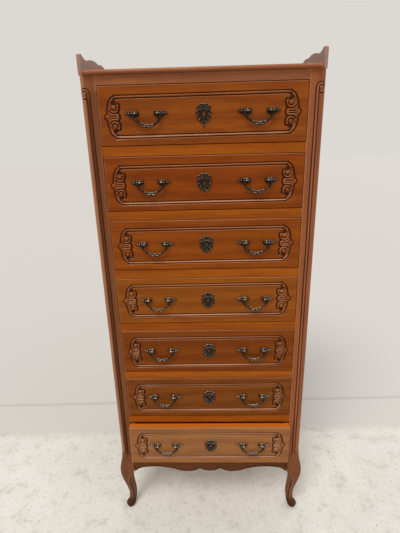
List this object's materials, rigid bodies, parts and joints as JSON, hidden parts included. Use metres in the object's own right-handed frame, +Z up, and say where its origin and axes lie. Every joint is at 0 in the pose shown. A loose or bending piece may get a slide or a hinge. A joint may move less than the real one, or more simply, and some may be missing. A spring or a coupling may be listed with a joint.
{
  "type": "semainier chest of drawers",
  "caption": "Tall narrow chest with a column of sliding drawers, drop handles, carved fronts, low gallery and cabriole legs.",
  "frame": {"origin": "middle of the object's box, on the floor", "axes": "+Z up, the drawer fronts face -Y, +X to the right as seen from the front"},
  "size_m": [0.601, 0.4199, 1.4148],
  "materials": {
    "show_wood": "satin lacquered cherry, warm red-brown",
    "drawer_wood": "bare pale beech and ply",
    "carcass_wood": "bare sawn softwood",
    "back_panel_ply": "bare plywood",
    "antique_brass": "dark antiqued brass, rubbed bright on high spots"
  },
  "bodies": {
    "case": {"front_post_left": "show_wood", "front_post_right": "show_wood", "front_leg_left": "show_wood", "front_leg_right": "show_wood", "rear_post_left": "show_wood", "rear_post_right": "show_wood", "side_panel_left": "show_wood", "side_panel_right": "show_wood", "side_apron_left": "show_wood", "side_apron_right": "show_wood", "gallery_side_left": "show_wood", "gallery_side_right": "show_wood", "gallery_back": "show_wood", "top_board": "show_wood", "top_rail": "show_wood", "drawer_rails": "show_wood", "bottom_rail": "carcass_wood", "front_apron": "show_wood", "back_panel": "back_panel_ply", "back_rails": "carcass_wood", "runners_left": "carcass_wood", "runners_right": "carcass_wood", "drawer_stops": "carcass_wood", "glue_blocks": "carcass_wood"},
    "drawer_1": {"drawer_1_front": "show_wood", "drawer_1_box": "drawer_wood", "drawer_1_fittings": "antique_brass"},
    "bail_1_left": {"drawer_1_bail_left": "antique_brass"},
    "bail_1_right": {"drawer_1_bail_right": "antique_brass"},
    "drawer_2": {"drawer_2_front": "show_wood", "drawer_2_box": "drawer_wood", "drawer_2_fittings": "antique_brass"},
    "bail_2_left": {"drawer_2_bail_left": "antique_brass"},
    "bail_2_right": {"drawer_2_bail_right": "antique_brass"},
    "drawer_3": {"drawer_3_front": "show_wood", "drawer_3_box": "drawer_wood", "drawer_3_fittings": "antique_brass"},
    "bail_3_left": {"drawer_3_bail_left": "antique_brass"},
    "bail_3_right": {"drawer_3_bail_right": "antique_brass"},
    "drawer_4": {"drawer_4_front": "show_wood", "drawer_4_box": "drawer_wood", "drawer_4_fittings": "antique_brass"},
    "bail_4_left": {"drawer_4_bail_left": "antique_brass"},
    "bail_4_right": {"drawer_4_bail_right": "antique_brass"},
    "drawer_5": {"drawer_5_front": "show_wood", "drawer_5_box": "drawer_wood", "drawer_5_fittings": "antique_brass"},
    "bail_5_left": {"drawer_5_bail_left": "antique_brass"},
    "bail_5_right": {"drawer_5_bail_right": "antique_brass"},
    "drawer_6": {"drawer_6_front": "show_wood", "drawer_6_box": "drawer_wood", "drawer_6_fittings": "antique_brass"},
    "bail_6_left": {"drawer_6_bail_left": "antique_brass"},
    "bail_6_right": {"drawer_6_bail_right": "antique_brass"},
    "drawer_7": {"drawer_7_front": "show_wood", "drawer_7_box": "drawer_wood", "drawer_7_fittings": "antique_brass"},
    "bail_7_left": {"drawer_7_bail_left": "antique_brass"},
    "bail_7_right": {"drawer_7_bail_right": "antique_brass"}
  },
  "joints": [
    {"name": "drawer_1_slide", "type": "slide", "parent": "case", "child": "drawer_1", "axis": [0, -1, 0], "range_m": [0, 0.25]},
    {"name": "bail_1_left_hinge", "type": "hinge", "parent": "drawer_1", "child": "bail_1_left", "pos_m": [-0.135, -0.17955, 1.2795], "axis": [-1, 0, 0], "range_deg": [-9, 95]},
    {"name": "bail_1_right_hinge", "type": "hinge", "parent": "drawer_1", "child": "bail_1_right", "pos_m": [0.135, -0.17955, 1.2795], "axis": [-1, 0, 0], "range_deg": [-9, 95]},
    {"name": "drawer_2_slide", "type": "slide", "parent": "case", "child": "drawer_2", "axis": [0, -1, 0], "range_m": [0, 0.25]},
    {"name": "bail_2_left_hinge", "type": "hinge", "parent": "drawer_2", "child": "bail_2_left", "pos_m": [-0.135, -0.17955, 1.1165], "axis": [-1, 0, 0], "range_deg": [-9, 95]},
    {"name": "bail_2_right_hinge", "type": "hinge", "parent": "drawer_2", "child": "bail_2_right", "pos_m": [0.135, -0.17955, 1.1165], "axis": [-1, 0, 0], "range_deg": [-9, 95]},
    {"name": "drawer_3_slide", "type": "slide", "parent": "case", "child": "drawer_3", "axis": [0, -1, 0], "range_m": [0, 0.25]},
    {"name": "bail_3_left_hinge", "type": "hinge", "parent": "drawer_3", "child": "bail_3_left", "pos_m": [-0.135, -0.17955, 0.9535], "axis": [-1, 0, 0], "range_deg": [-9, 95]},
    {"name": "bail_3_right_hinge", "type": "hinge", "parent": "drawer_3", "child": "bail_3_right", "pos_m": [0.135, -0.17955, 0.9535], "axis": [-1, 0, 0], "range_deg": [-9, 95]},
    {"name": "drawer_4_slide", "type": "slide", "parent": "case", "child": "drawer_4", "axis": [0, -1, 0], "range_m": [0, 0.25]},
    {"name": "bail_4_left_hinge", "type": "hinge", "parent": "drawer_4", "child": "bail_4_left", "pos_m": [-0.135, -0.17955, 0.7905], "axis": [-1, 0, 0], "range_deg": [-9, 95]},
    {"name": "bail_4_right_hinge", "type": "hinge", "parent": "drawer_4", "child": "bail_4_right", "pos_m": [0.135, -0.17955, 0.7905], "axis": [-1, 0, 0], "range_deg": [-9, 95]},
    {"name": "drawer_5_slide", "type": "slide", "parent": "case", "child": "drawer_5", "axis": [0, -1, 0], "range_m": [0, 0.25]},
    {"name": "bail_5_left_hinge", "type": "hinge", "parent": "drawer_5", "child": "bail_5_left", "pos_m": [-0.135, -0.17955, 0.6275], "axis": [-1, 0, 0], "range_deg": [-9, 95]},
    {"name": "bail_5_right_hinge", "type": "hinge", "parent": "drawer_5", "child": "bail_5_right", "pos_m": [0.135, -0.17955, 0.6275], "axis": [-1, 0, 0], "range_deg": [-9, 95]},
    {"name": "drawer_6_slide", "type": "slide", "parent": "case", "child": "drawer_6", "axis": [0, -1, 0], "range_m": [0, 0.25]},
    {"name": "bail_6_left_hinge", "type": "hinge", "parent": "drawer_6", "child": "bail_6_left", "pos_m": [-0.135, -0.17955, 0.4645], "axis": [-1, 0, 0], "range_deg": [-9, 95]},
    {"name": "bail_6_right_hinge", "type": "hinge", "parent": "drawer_6", "child": "bail_6_right", "pos_m": [0.135, -0.17955, 0.4645], "axis": [-1, 0, 0], "range_deg": [-9, 95]},
    {"name": "drawer_7_slide", "type": "slide", "parent": "case", "child": "drawer_7", "axis": [0, -1, 0], "range_m": [-0.027, 0.223]},
    {"name": "bail_7_left_hinge", "type": "hinge", "parent": "drawer_7", "child": "bail_7_left", "pos_m": [-0.135, -0.20655, 0.3015], "axis": [-1, 0, 0], "range_deg": [-9, 95]},
    {"name": "bail_7_right_hinge", "type": "hinge", "parent": "drawer_7", "child": "bail_7_right", "pos_m": [0.135, -0.20655, 0.3015], "axis": [-1, 0, 0], "range_deg": [-9, 95]}
  ]
}
